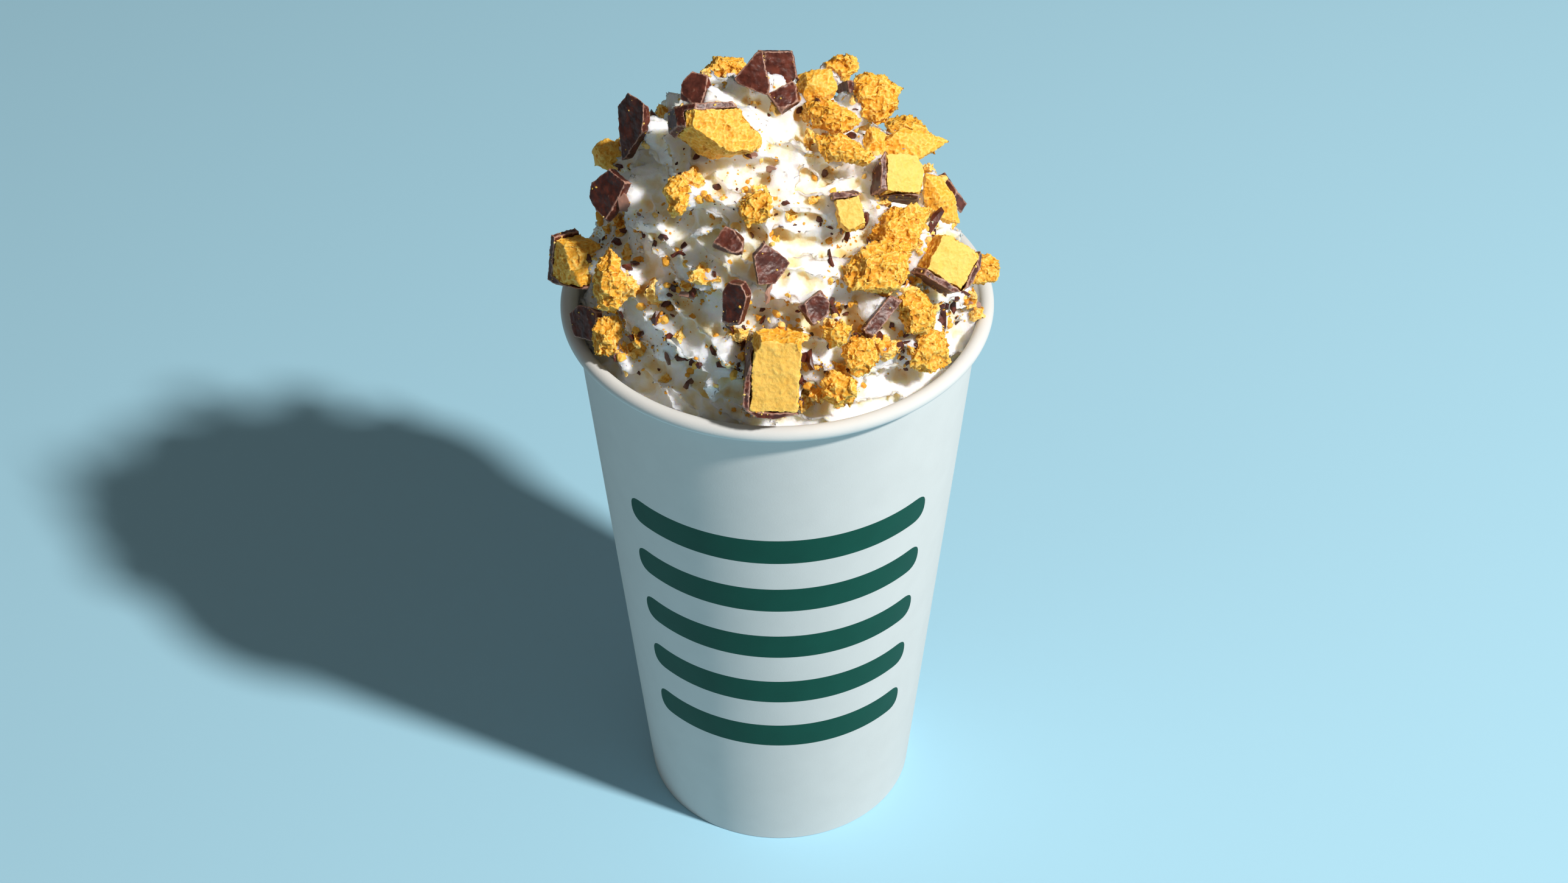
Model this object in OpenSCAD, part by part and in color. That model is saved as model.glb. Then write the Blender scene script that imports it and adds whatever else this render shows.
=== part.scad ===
// A thick milkshake in a tall paper cup, heaped with whipped cream and strewn with broken honeycomb bar.
// Millimetres, +Z up, origin on the table under the middle of the cup. The front of the drink is -Y.
// Places on the heap are given as on a globe: longitude 0 is the front and 90 the +X side,
// latitude 0 is the edge of the cream and 90 its top.

/* [Cup] */
// Outer diameter across the rolled lip
rim_d = 90; // [76:1:108]
// Outer diameter of the foot
foot_d = 60; // [50:1:72]
// Height of the cup
cup_h = 135; // [108:1:165]
// Thickness of the paper board
board = 0.5; // [0.3:0.05:0.9]
// Outer radius of the rolled lip's curl
lip_r = 1.6; // [1.3:0.1:2.2]
// Height of the folded foot and of the base disc above the table
foot_recess = 9; // [6:0.5:14]

/* [Drink] */
// Depth of the drink's surface below the lip
head_space = 12; // [8:1:25]
// Clearance between pieces that only rest against each other
seat_gap = 0.1; // [0.05:0.05:0.3]

/* [Cream] */
// Height of the heap above its edge
heap_h = 56; // [42:1:68]
// Depth of the heap's edge below the lip
edge_drop = 5; // [3:0.5:7]
// How far the heap leans over to the -X side
heap_lean = 3.5; // [0:0.5:5]
// Gap between the heap's edge and the cup's inner wall
edge_gap = 0.7; // [0.4:0.1:1.5]
// Turns of the piped coil from the edge to the top
coil_turns = 5; // [3:1:7]
// Depth of the grooves between the turns
coil_relief = 2.2; // [0:0.1:3]
// Ruffles that the star nozzle leaves round one turn
ruffles = 13; // [8:1:16]
// Depth of the ruffles
ruffle_relief = 0.9; // [0:0.1:1.5]
// Height of the soft lumps
lump_relief = 1.4; // [0:0.1:2]

/* [Toppings] */
// Thickness of the chocolate coat on the bar
coat_t = 1.3; // [0.8:0.1:2]
// Thickness of the loose chocolate shards
shard_t = 1.8; // [1.2:0.1:2.6]

/* [Hidden] */
$fn = 96;
// The coated pieces of bar: name, longitude, latitude, lift of the middle above the cream,
// direction that the broken face looks in [longitude, elevation], spin, size [width, height, depth],
// and 1 for each side that has its coat, as [left, right, bottom, top].
SLICES = [
    ["crown", -37, 65.5, 1, [25, 42], -13, [17, 9, 9], [1, 0, 0, 1]],
    ["front", 0, 18, 1.5, [0, 15], -3, [10, 16, 8], [1, 0, 1, 0]],
    ["right", 62, 28, 3, [25, 35], 45, [9, 11, 7], [1, 0, 1, 0]],
    ["cap", 32, 47, 1.5, [10, 40], 5, [5.5, 7, 6], [0, 0, 0, 1]],
    ["shoulder", 65, 48, 4, [30, 40], -20, [9, 8, 7], [1, 0, 1, 0]],
    ["left", -78, 20, 3, [-52, 12], 5, [7, 9, 7], [1, 0, 1, 0]],
    ["back", 170, 30, 2, [175, 30], 30, [9, 12, 7], [0, 1, 1, 0]],
];
// The loose honeycomb: name, longitude, latitude, lift, facing, spin, size, taper of the +X end, seed.
CHUNKS = [
    ["top", 90, 77, 3.5, [10, 40], 10, [8, 7, 6], 0, 11],
    ["peak", 112, 70, 8, [20, 40], -8, [6.5, 4.5, 5], 0, 12],
    ["crest", 110, 58, 5, [20, 45], 30, [9, 9, 7], 0, 13],
    ["long_high", 62, 70, 3, [10, 45], -20, [11, 5.5, 5], 0.3, 14],
    ["long_low", 46, 61, 3, [10, 40], -25, [11, 5.5, 5], 0.2, 15],
    ["post", 77, 56, 2, [20, 30], 0, [5, 7, 5], 0, 16],
    ["spike", 90, 47, 4.5, [20, 40], -10, [14, 7, 5], 0.85, 17],
    ["flank", 53, 38.5, 1.5, [20, 40], 10, [12, 8, 6], 0.2, 18],
    ["middle", 37, 34, 2, [20, 35], 12, [14, 9, 7], 0.2, 19],
    ["slab", 86, 33, 1, [60, 20], 10, [7, 13, 5], 0, 20],
    ["pair_high", 45, 22, 2, [30, 30], 30, [8, 9, 6], 0, 21],
    ["pair_low", 47, 12, 1.5, [30, 20], 0, [8, 8, 5], 0, 22],
    ["edge_right", 84, 14, 3.5, [30, 30], 4, [8, 5, 5], 0.4, 23],
    ["low", 24, 18, 1.5, [20, 25], 10, [6, 7, 5], 0, 24],
    ["rim", 17, 11.5, 1.5, [15, 20], 0, [7, 7.5, 5], 0, 25],
    ["left_high", -57, 25, 2.5, [-48, 20], 10, [7, 12, 6], 0, 26],
    ["left_low", -58, 11, 0.5, [-40, 20], 0, [6, 8, 4], 0, 27],
    ["shaded", -98, 38, 2, [-40, 30], 0, [6.5, 6, 6], 0, 28],
    ["small_left", -43, 49, 1.5, [-20, 40], 10, [5, 8.5, 5], 0, 29],
    ["small_mid", -8, 51, 1, [0, 40], 0, [6, 7, 4], 0, 30],
    ["inner", 18, 24, 1.5, [10, 30], 0, [5, 5, 4], 0, 35],
    ["back_high", -160, 42, 2.5, [180, 45], 20, [10, 8, 6], 0, 31],
    ["back_left", -130, 30, 2, [-135, 25], -20, [9, 8, 6], 0.3, 32],
    ["back_right", 130, 30, 2, [130, 25], 15, [11, 8, 7], 0.2, 33],
    ["back_low", 160, 14, 1.5, [165, 15], 0, [8, 7, 5], 0, 34],
];
// The chocolate shards: name, longitude, latitude, lift, facing, spin, size [width, height], corners, seed.
SHARDS = [
    ["left", -68, 10, 1.5, [-52, 22], 10, [8, 5.5], 5, 41],
    ["dark_high", -88, 51, 3, [-50, 20], 10, [6, 12], 5, 42],
    ["dark_low", -76, 38, 2, [-45, 25], -10, [6, 11], 5, 43],
    ["tip", -75, 83, 3, [0, 30], 15, [7, 8], 3, 44],
    ["crown", 172, 83, 3, [10, 25], -5, [7, 6], 4, 45],
    ["small_top", 30, 82, 1.5, [10, 60], 20, [6, 4], 4, 46],
    ["chip", -86, 68, 2, [-20, 40], 0, [5, 5], 4, 47],
    ["stick", 34, 25, 1.5, [20, 40], 35, [10, 3], 4, 48],
    ["upright", -13, 31, 1.5, [-40, 20], 5, [5, 8], 5, 49],
    ["flake", 12, 30, 1.5, [20, 35], 25, [6, 5], 4, 50],
    ["small_mid", -17, 43, 1, [0, 50], -20, [5, 4], 4, 51],
    ["fold", -3, 39, 1.5, [30, 30], -35, [6, 5], 5, 55],
    ["back_high", 140, 46, 2, [150, 40], 30, [8, 7], 5, 52],
    ["back_left", -150, 24, 2, [-160, 30], -15, [9, 6], 4, 53],
    ["back_right", 110, 22, 1.5, [110, 30], 20, [7, 6], 4, 54],
];

// Height and radius where the wall runs into the lip, and the slope that follows
lip_z = cup_h - lip_r;
neck_r = rim_d / 2 - 2 * lip_r + board;
wall_slope = (neck_r - foot_d / 2) / lip_z;
drink_z = cup_h - head_space;
edge_z = cup_h - edge_drop;
heap_r = wall_r(edge_z) - board - edge_gap;
// Exponent that rounds the heap's profile: 1 is an ellipse, more is narrower at the top
heap_round = 1.15;
// The cream's mesh: points round a ring, and rings from the edge to the top
ring_points = 64;
heap_rings = 30;
full_turn = 360;

// Outer radius of the conical wall at a height
function wall_r(z) = foot_d / 2 + wall_slope * z;

// The heap's smooth profile, and the direction [outwards, upwards] that it faces at a latitude
function heap_radius(lat) = heap_r * pow(cos(lat), heap_round);
function heap_z(lat) = edge_z + heap_h * sin(lat);
function heap_facing(lat) =
    let (out = heap_h * cos(lat), up = heap_r * heap_round * pow(cos(lat), heap_round - 1) * sin(lat))
    [out, up] / norm([out, up]);
function on_circle(r, lon, z) = [r * sin(lon), -r * cos(lon), z];
function lean(lon, lat) = 3 * heap_lean * cos(lon + 80) * pow(sin(lat), 3) * cos(lat);
function heap_point(lon, lat, lift) =
    let (face = heap_facing(lat), out = lift + lean(lon, lat))
    on_circle(heap_radius(lat) + out * face[0], lon, heap_z(lat) + out * face[1]);

// What the piping adds to the smooth heap: the coil's grooves, the nozzle's ruffles and soft lumps
function coil(lon, lat) = coil_relief * (sqrt(abs(cos(180 * (coil_turns * lat / 90 + lon / full_turn)))) - 0.8);
function ruffle(lon, lat) = ruffle_relief * pow(cos(lat), 1.5) * sin(ruffles * lon + 500 * sin(lat));
function lumps(lon, lat) =
    lump_relief * (sin(3 * lon + 4 * lat) * sin(5 * lat + 60) + 0.6 * sin(5 * lon - 7 * lat + 130));
function hollow(lon) = 1.6 * pow(max(0, cos(lon + 50)), 4);
function fade(lat) = min(1, lat / 14);
function relief(lon, lat) =
    fade(lat) * (coil(lon, lat) + ruffle(lon, lat) + lumps(lon, lat)) - (1 - fade(lat)) * hollow(lon);

// A number from low to high that depends only on the seed and its place in the draw
function drawn(low, high, count, seed) = rands(low, high, count, seed);

module cup_wall() {
    fold_in = 3 * board + 2 * seat_gap;
    color("white")
    rotate_extrude() {
        polygon([[wall_r(0), 0], [wall_r(lip_z), lip_z], [wall_r(lip_z) - board, lip_z],
                 [wall_r(0) - board, 0]]);
        polygon([[wall_r(0), 0], [wall_r(board), board], [wall_r(board) - fold_in, board],
                 [wall_r(0) - fold_in, 0]]);
        polygon([[wall_r(0) - fold_in, 0], [wall_r(0) - fold_in + board, 0],
                 [wall_r(foot_recess) - fold_in + board, foot_recess - seat_gap],
                 [wall_r(foot_recess) - fold_in, foot_recess - seat_gap]]);
        translate([rim_d / 2 - lip_r, lip_z]) lip_section();
    }
}

// The curl, left open where its end meets the wall from outside
module lip_section() {
    slit = 0.35 * lip_r;
    difference() {
        circle(lip_r);
        circle(lip_r - board);
        translate([-lip_r - board, -slit - 0.1 * lip_r]) square([lip_r, slit]);
    }
}

module cup_base() {
    flange_r = wall_r(board) - board - seat_gap;
    disc_r = wall_r(foot_recess) - board - seat_gap;
    color("ivory")
    rotate_extrude() {
        translate([0, foot_recess]) square([disc_r, board]);
        polygon([[flange_r, board + seat_gap], [disc_r, foot_recess + board / 2],
                 [disc_r - board, foot_recess + board / 2], [flange_r - board, board + seat_gap]]);
    }
}

module milkshake() {
    floor_z = foot_recess + board + seat_gap;
    inset = board + seat_gap;
    color("antiquewhite")
    rotate_extrude()
        polygon([[0, floor_z], [wall_r(floor_z) - inset, floor_z], [wall_r(drink_z) - inset, drink_z],
                 [0, drink_z]]);
}

// The heap in one piece, from the drink's surface up, cut round every topping that is pressed into it
module whipped_cream() {
    color("floralwhite")
    difference() {
        heap();
        for (s = SLICES) placed(s) hull() linear_extrude(s[6][2] + 2 * seat_gap, center = true)
            offset(delta = seat_gap) coated_outline(s[6], s[7]);
        for (c = CHUNKS) placed(c) grown(c[6]) chunk(c[6], c[7], c[8]);
        for (s = SHARDS) placed(s) hull() linear_extrude(shard_t + 2 * seat_gap, center = true)
            offset(delta = seat_gap) shard_outline(s[6], s[7], s[8]);
    }
}

module heap() {
    foot_z = drink_z + seat_gap;
    step = full_turn / ring_points;
    lons = [for (i = [0:ring_points - 1]) i * step];
    rings = concat(
        [[for (lon = lons) on_circle(wall_r(foot_z) - board - seat_gap, lon, foot_z)],
         [for (lon = lons) on_circle(heap_radius(0) - hollow(lon), lon, edge_z)]],
        [for (k = [1:heap_rings - 1]) let (lat = 88 * k / heap_rings)
            [for (lon = lons) heap_point(lon, lat, relief(lon, lat))]]
    );
    last = len(rings) - 1;
    points = concat([for (ring = rings) each ring], [[0, 0, foot_z], [0, 0, heap_z(90)]]);
    bottom = len(points) - 2;
    top = len(points) - 1;
    function at(ring, i) = ring * ring_points + i % ring_points;
    faces = concat(
        [for (k = [0:last - 1], i = [0:ring_points - 1]) [at(k, i), at(k + 1, i), at(k + 1, i + 1)]],
        [for (k = [0:last - 1], i = [0:ring_points - 1]) [at(k, i), at(k + 1, i + 1), at(k, i + 1)]],
        [for (i = [0:ring_points - 1]) [bottom, at(0, i), at(0, i + 1)]],
        [for (i = [0:ring_points - 1]) [at(last, i), top, at(last, i + 1)]]
    );
    polyhedron(points, faces, convexity = 6);
}

// Puts a topping from one of the lists on the heap, its broken face looking where the list says
module placed(item) {
    facing = item[4];
    translate(heap_point(item[1], item[2], item[3]))
        rotate([0, 0, facing[0]]) rotate([90 - facing[1], 0, 0]) rotate([0, 0, item[5]])
            children();
}

module grown(size) {
    scale([for (s = size) (s + 2 * seat_gap) / s]) children();
}

// A piece of bar seen on its broken face: straight along its coated sides, snapped unevenly elsewhere
module bar_outline(size, coat) {
    nodes = [[-1, -1], [0.2, -1], [1, -1], [1, 0.3], [1, 1], [-0.3, 1], [-1, 1], [-1, 0.1]];
    chip = drawn(0.03, 0.14, 2 * len(nodes), size[0] * size[1]);
    function bare(share, low, high) = share == -1 ? 1 - coat[low] : share == 1 ? 1 - coat[high] : 0;
    polygon([for (k = [0:len(nodes) - 1]) let (at = nodes[k])
        [at[0] * size[0] / 2 * (1 - bare(at[0], 0, 1) * chip[k]),
         at[1] * size[1] / 2 * (1 - bare(at[1], 2, 3) * chip[len(nodes) + k])]]);
}

// The same piece with its coat on
module coated_outline(size, coat) {
    translate([-size[0] / 2 - coat[0] * coat_t, -size[1] / 2 - coat[2] * coat_t])
        square([size[0] + (coat[0] + coat[1]) * coat_t, size[1] + (coat[2] + coat[3]) * coat_t]);
}

module bar(s) {
    color("goldenrod") placed(s) linear_extrude(s[6][2], center = true) bar_outline(s[6], s[7]);
}

module bar_coat(s) {
    color("saddlebrown") placed(s) linear_extrude(s[6][2], center = true)
        difference() {
            coated_outline(s[6], s[7]);
            square([s[6][0], s[6][1]], center = true);
        }
}

// A broken lump of a given size: the hull of points spread evenly over a ball, each pushed in or out
// at random, and drawn together towards the +X end where it tapers
module chunk(size, taper, seed) {
    count = 15;
    golden = 137.5;
    push = drawn(0.75, 1.15, count, seed);
    ball = [for (i = [0:count - 1])
        let (z = 1 - 2 * (i + 0.5) / count, r = sqrt(1 - z * z), x = r * cos(golden * i),
             slim = 1 - taper * max(0, x))
        [x, r * sin(golden * i) * slim, z * slim] * push[i]];
    low = [for (axis = [0:2]) min([for (p = ball) p[axis]])];
    high = [for (axis = [0:2]) max([for (p = ball) p[axis]])];
    points = [for (p = ball) [for (axis = [0:2])
        size[axis] * ((p[axis] - low[axis]) / (high[axis] - low[axis]) - 0.5)]];
    hull() polyhedron(points, [for (i = [0:count - 3]) [i, i + 1, i + 2]]);
}

module honeycomb(c) {
    color("orange") placed(c) chunk(c[6], c[7], c[8]);
}

// A flat splinter with a few uneven corners
module shard_outline(size, corners, seed) {
    push = drawn(0.8, 1.12, corners, seed);
    turn = drawn(-14, 14, corners, seed + 1);
    polygon([for (i = [0:corners - 1]) let (a = full_turn * (i + 0.5) / corners + turn[i])
        [cos(a) * size[0], sin(a) * size[1]] * push[i] * 0.62]);
}

module chocolate(s) {
    color("sienna") placed(s) linear_extrude(shard_t, center = true) shard_outline(s[6], s[7], s[8]);
}

cup_wall();
cup_base();
milkshake();
whipped_cream();
for (s = SLICES) bar(s);
for (s = SLICES) bar_coat(s);
for (c = CHUNKS) honeycomb(c);
for (s = SHARDS) chocolate(s);
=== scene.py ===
# %% [markdown]
# # A honeycomb milkshake in a paper cup
#
# The real thing is a tall white paper cup of thick shake under a heap of whipped cream, strewn with
# smashed chocolate-coated honeycomb bar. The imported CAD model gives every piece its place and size.
# This script gives each piece its finish, and swaps the plain solids for pieces with real surfaces.
# All lengths are in metres, so MM turns the millimetres that a maker thinks in into scene units.

# %% Load the fixed frame
import math
import random

import bmesh
import bpy
from mathutils import Matrix, Vector
from mathutils.geometry import delaunay_2d_cdt


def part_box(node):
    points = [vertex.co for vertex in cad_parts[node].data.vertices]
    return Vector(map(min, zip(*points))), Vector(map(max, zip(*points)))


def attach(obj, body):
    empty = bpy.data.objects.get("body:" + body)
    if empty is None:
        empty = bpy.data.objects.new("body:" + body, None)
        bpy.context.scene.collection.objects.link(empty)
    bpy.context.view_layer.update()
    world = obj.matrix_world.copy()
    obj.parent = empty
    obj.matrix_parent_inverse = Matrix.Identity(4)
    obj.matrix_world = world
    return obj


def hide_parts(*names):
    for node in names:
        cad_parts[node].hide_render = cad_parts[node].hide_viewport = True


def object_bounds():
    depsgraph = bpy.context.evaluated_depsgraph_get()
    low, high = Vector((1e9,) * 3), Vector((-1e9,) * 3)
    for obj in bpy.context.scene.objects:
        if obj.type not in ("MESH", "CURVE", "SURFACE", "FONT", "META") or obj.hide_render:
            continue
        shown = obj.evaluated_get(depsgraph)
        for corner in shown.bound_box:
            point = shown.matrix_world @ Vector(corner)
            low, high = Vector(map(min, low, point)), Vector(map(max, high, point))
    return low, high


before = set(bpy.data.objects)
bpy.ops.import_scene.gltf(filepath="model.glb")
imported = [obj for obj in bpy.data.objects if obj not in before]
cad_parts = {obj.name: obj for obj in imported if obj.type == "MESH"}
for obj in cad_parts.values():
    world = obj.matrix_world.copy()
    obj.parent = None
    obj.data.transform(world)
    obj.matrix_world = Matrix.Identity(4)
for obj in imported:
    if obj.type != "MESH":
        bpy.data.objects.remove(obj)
cad_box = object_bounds()
MM = 0.001
print("nodes in the frame:", len(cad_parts))

# %% [markdown]
# ## Reading the sizes
#
# Nothing here is typed in twice if the frame can say it: the cup's wall gives the lip's radius, the
# height and the foot. What a box can't tell is a named value: the thickness of the board and of the lip's
# curl, and how high the cream's heap stands above its edge, which is a little below the lip.

# %% Sizes of the cup and the heap
BOARD = 0.5 * MM
LIP_R = 1.6 * MM
wall_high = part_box("cup_wall")[1]
cream_low, cream_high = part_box("whipped_cream")
RIM_R = wall_high.x
CUP_H = wall_high.z
LIP_Z = CUP_H - LIP_R
NECK_R = RIM_R - 2 * LIP_R + BOARD
FOOT_R = max(v.co.xy.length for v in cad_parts["cup_wall"].data.vertices if v.co.z < 0.1 * MM)
EDGE_Z = CUP_H - 5 * MM
HEAP_R = FOOT_R + (NECK_R - FOOT_R) * EDGE_Z / LIP_Z - BOARD - 0.7 * MM
HEAP_H = 56 * MM
print(f"lip radius {RIM_R / MM:.1f} mm, foot radius {FOOT_R / MM:.1f} mm, height {CUP_H / MM:.1f} mm")
print(f"cream from {cream_low.z / MM:.1f} to {cream_high.z / MM:.1f} mm")

# %% [markdown]
# ## Helpers
#
# One function adds any node, in a material or in Geometry Nodes: its settings are keyword arguments, and
# its inputs are given by name or number, each a plain value or another node's output. One function
# turns a hex colour as seen on a screen into the linear numbers that a renderer works in.

# %% Colours, nodes and meshes
def linear(hex_colour):
    parts = [int(hex_colour[i:i + 2], 16) / 255 for i in (1, 3, 5)]
    return [c / 12.92 if c <= 0.04045 else ((c + 0.055) / 1.055) ** 2.4 for c in parts] + [1.0]


def add(tree, kind, inputs=None, **settings):
    node = tree.nodes.new(kind)
    for key, value in settings.items():
        setattr(node, key, value)
    for key, value in (inputs or {}).items():
        if isinstance(value, bpy.types.NodeSocket):
            tree.links.new(value, node.inputs[key])
        else:
            node.inputs[key].default_value = value
    return node


def new_material(name):
    material = bpy.data.materials.new(name)
    material.use_nodes = True
    tree = material.node_tree
    shader = tree.nodes["Principled BSDF"]
    place = add(tree, "ShaderNodeTexCoord").outputs["Object"]
    return material, tree, shader, place


def new_piece(name, mesh, material=None):
    piece = bpy.data.objects.new(name, mesh)
    bpy.context.scene.collection.objects.link(piece)
    if material is not None:
        mesh.materials.clear()
        mesh.materials.append(material)
    return piece


KINDS = {int: "NodeSocketInt", float: "NodeSocketFloat", tuple: "NodeSocketVector",
         "material": "NodeSocketMaterial", "object": "NodeSocketObject"}


def geometry_tree(name, **sizes):
    """A new tree with one input for each size. A value only tells the input's kind: the sizes that count
    are the ones given to grow, and an input that it leaves out is 0."""
    tree = bpy.data.node_groups.new(name, "GeometryNodeTree")
    tree.interface.new_socket("Geometry", in_out="INPUT", socket_type="NodeSocketGeometry")
    for label, value in sizes.items():
        kind = KINDS[value if isinstance(value, str) else type(value)]
        tree.interface.new_socket(label, in_out="INPUT", socket_type=kind)
    tree.interface.new_socket("Geometry", in_out="OUTPUT", socket_type="NodeSocketGeometry")
    return tree, add(tree, "NodeGroupInput").outputs, add(tree, "NodeGroupOutput").inputs["Geometry"]


def grow(piece, tree, **sizes):
    """Runs a Geometry Nodes tree on a piece with these sizes and keeps the result as its plain mesh."""
    modifier = piece.modifiers.new(tree.name, "NODES")
    modifier.node_group = tree
    for socket in tree.interface.items_tree:
        if socket.in_out == "INPUT" and socket.name in sizes:
            modifier[socket.identifier] = sizes[socket.name]
    return settle(piece)


def settle(piece):
    """Keeps what the piece's modifiers make as a plain mesh, and returns the piece that holds it."""
    seen = piece.evaluated_get(bpy.context.evaluated_depsgraph_get())
    mesh = bpy.data.meshes.new_from_object(seen)
    name = piece.name
    bpy.data.objects.remove(piece)
    settled = new_piece(name, mesh)
    mesh.name = name
    return settled


def remesh(piece, voxel):
    modifier = piece.modifiers.new("Remesh", "REMESH")
    modifier.mode = "VOXEL"
    modifier.voxel_size = voxel
    return settle(piece)


def smooth(piece):
    for face in piece.data.polygons:
        face.use_smooth = True
    return piece


# %% [markdown]
# ## Camera
#
# The drink is seen from above, about 40 degrees down, from some 65 cm away with a short telephoto lens.
# The camera is aimed at a point about half way up the drink.

# %% Camera
def look_from(azimuth, elevation, distance, target, roll, lens):
    data = bpy.data.cameras.new("camera")
    data.lens = lens
    data.sensor_width = 36
    data.clip_start = 0.01
    camera = bpy.data.objects.new("camera", data)
    bpy.context.scene.collection.objects.link(camera)
    a, e = math.radians(azimuth), math.radians(elevation)
    back = Vector((math.sin(a) * math.cos(e), -math.cos(a) * math.cos(e), math.sin(e)))
    camera.location = Vector(target) + back * distance
    turn = (-back).to_track_quat("-Z", "Y").to_matrix()
    camera.rotation_euler = (turn @ Matrix.Rotation(math.radians(-roll), 3, "Z")).to_euler()
    bpy.context.scene.camera = camera
    return camera


AIM = (1.27 * MM, 0, 94.1 * MM)
look_from(azimuth=0, elevation=40.75, distance=651.7 * MM, target=AIM, roll=0.28, lens=69.17)
print("camera at", [round(c, 3) for c in bpy.context.scene.camera.location])

# %% [markdown]
# ## Light and floor
#
# One studio lamp stands high at the front right, small enough to draw every fold of the cream with a
# shadow, and large enough to keep that shadow's edge soft. A wide weak lamp at the front left and a pale
# sky fill the shade. The floor is plain, pale and matt.

# %% Light
def lamp(name, azimuth, elevation, distance, size, power, colour):
    data = bpy.data.lights.new(name, "AREA")
    data.shape = "DISK"
    data.size = size
    data.energy = power
    data.color = linear(colour)[:3]
    light = bpy.data.objects.new(name, data)
    bpy.context.scene.collection.objects.link(light)
    a, e = math.radians(azimuth), math.radians(elevation)
    away = Vector((math.sin(a) * math.cos(e), -math.cos(a) * math.cos(e), math.sin(e)))
    light.location = Vector((0, 0, 0.12)) + away * distance
    light.rotation_euler = (-away).to_track_quat("-Z", "Y").to_euler()
    return light


def sky(colour, strength):
    world = bpy.data.worlds.new("studio")
    world.use_nodes = True
    ground = world.node_tree.nodes["Background"]
    ground.inputs["Color"].default_value = linear(colour)
    ground.inputs["Strength"].default_value = strength
    bpy.context.scene.world = world


lamp("key", azimuth=57, elevation=46, distance=1.5, size=0.12, power=30, colour="#fff9f3")
lamp("fill", azimuth=-50, elevation=40, distance=2.0, size=1.4, power=1.8, colour="#fff8ee")
sky("#f3f4ee", 0.125)
bpy.context.scene.view_settings.view_transform = "Standard"

# %% Floor
def make_floor():
    material, tree, shader, place = new_material("Painted board, matt pale blue")
    shader.inputs["Base Color"].default_value = linear("#a5d6ec")
    shader.inputs["Roughness"].default_value = 0.85
    half = 6.0
    mesh = bpy.data.meshes.new("floor")
    corners = [(-half, -half, 0), (half, -half, 0), (half, half, 0), (-half, half, 0)]
    mesh.from_pydata(corners, [], [(0, 1, 2, 3)])
    floor = new_piece("floor", mesh, material)


make_floor()

# %% [markdown]
# ## Paper for the cup
#
# Cup board is uncoated white paperboard outside: matt, with a faint cloudiness from the fibres and a
# felt-like tooth that only shows in raking light. The ink is a flat flexographic green that sinks into
# the same paper, so it shares its bump and is only a little smoother.

# %% Paper and ink
FIBRE = 0.35 * MM
CLOUD = 6 * MM


def make_paper(name, colour, shade, roughness):
    material, tree, shader, place = new_material(name)
    cloud = add(tree, "ShaderNodeTexNoise", {"Vector": place, "Scale": 1 / CLOUD, "Detail": 3.0})
    fibre = add(tree, "ShaderNodeTexNoise", {"Vector": place, "Scale": 1 / FIBRE, "Detail": 4.0})
    tone = add(tree, "ShaderNodeMix", {0: cloud.outputs["Fac"], 6: linear(colour), 7: linear(shade)},
               data_type="RGBA")
    bump = add(tree, "ShaderNodeBump", {"Height": fibre.outputs["Fac"], "Distance": 0.03 * MM,
                                        "Strength": 0.6})
    tree.links.new(tone.outputs[2], shader.inputs["Base Color"])
    tree.links.new(bump.outputs["Normal"], shader.inputs["Normal"])
    shader.inputs["Roughness"].default_value = roughness
    shader.inputs["IOR"].default_value = 1.45
    shader.inputs["Specular IOR Level"].default_value = 0.2
    return material


paper = make_paper("Uncoated cup board", "#d8dad9", "#d0d2d1", 0.72)
ink = make_paper("Green flexographic ink on board", "#004437", "#034f40", 0.5)

# %% [markdown]
# ## The cup's wall, printed as it is cut
#
# A paper cup starts as a flat fan of board that is printed first, then wrapped into a cone, lapped and
# sealed down the back, and curled outwards at the lip. The skin is made the same way: the flat print is
# laid out in degrees round the cup and millimetres up it, cut into triangles along every printed edge,
# and then rolled up. That keeps each edge crisp at any distance, which a pattern in a material wouldn't.
#
# The print is the plainest there is on such a cup: level stripes of one ink with round ends, evenly spaced
# on the front. An outline holds only its corners here; one function rounds them.

# %% Flat print
MM_PER_DEGREE = 0.65
CORNER_STEPS = 6
STRIPES = 5
STRIPE_LOW = 34
STRIPE_TALL = 7
STRIPE_PITCH = 15
STRIPE_END = 52


def rounded(corners, radius):
    """Corners of a flat field, each cut back by the radius and rounded."""
    outline = []
    points = [Vector(corner) for corner in corners]
    for i, corner in enumerate(points):
        before = (points[i - 1] - corner).normalized() * radius
        after = (points[(i + 1) % len(points)] - corner).normalized() * radius
        for k in range(CORNER_STEPS + 1):
            t = k / CORNER_STEPS
            outline.append(corner + before * (1 - t) ** 2 + after * t ** 2)
    return outline


def stripe(bottom):
    """A level strip as tall as a stripe, between the two bearings where the stripes end."""
    side, top = STRIPE_END * MM_PER_DEGREE, bottom + STRIPE_TALL
    return rounded([(-side, bottom), (side, bottom), (side, top), (-side, top)], STRIPE_TALL * 0.48)


inked = [stripe(STRIPE_LOW + k * STRIPE_PITCH) for k in range(STRIPES)]
print(len(inked), "stripes of ink")

# %% [markdown]
# ## Rolling the cup up
#
# The wall's section runs once round the board: up the printed skin, over the curled lip, down the inside,
# and round the folded foot. The lap at the back is one board thicker and fades out in the lip's curl.

# %% Cup wall
WALL_STEPS = 256
LAP = 0.3 * MM
FOOT_ROUND = 0.15 * MM
FOLD = 3 * BOARD + 0.2 * MM
FOLD_TOP = 9 * MM


def wall_r(z):
    return FOOT_R + (NECK_R - FOOT_R) * z / LIP_Z


def ease(value, start, end):
    t = min(1.0, max(0.0, (value - start) / (end - start)))
    return t * t * (3 - 2 * t)


def on_wall(bearing, radius, z):
    a = math.radians(bearing)
    return Vector((radius * math.sin(a), -radius * math.cos(a), z))


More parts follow.
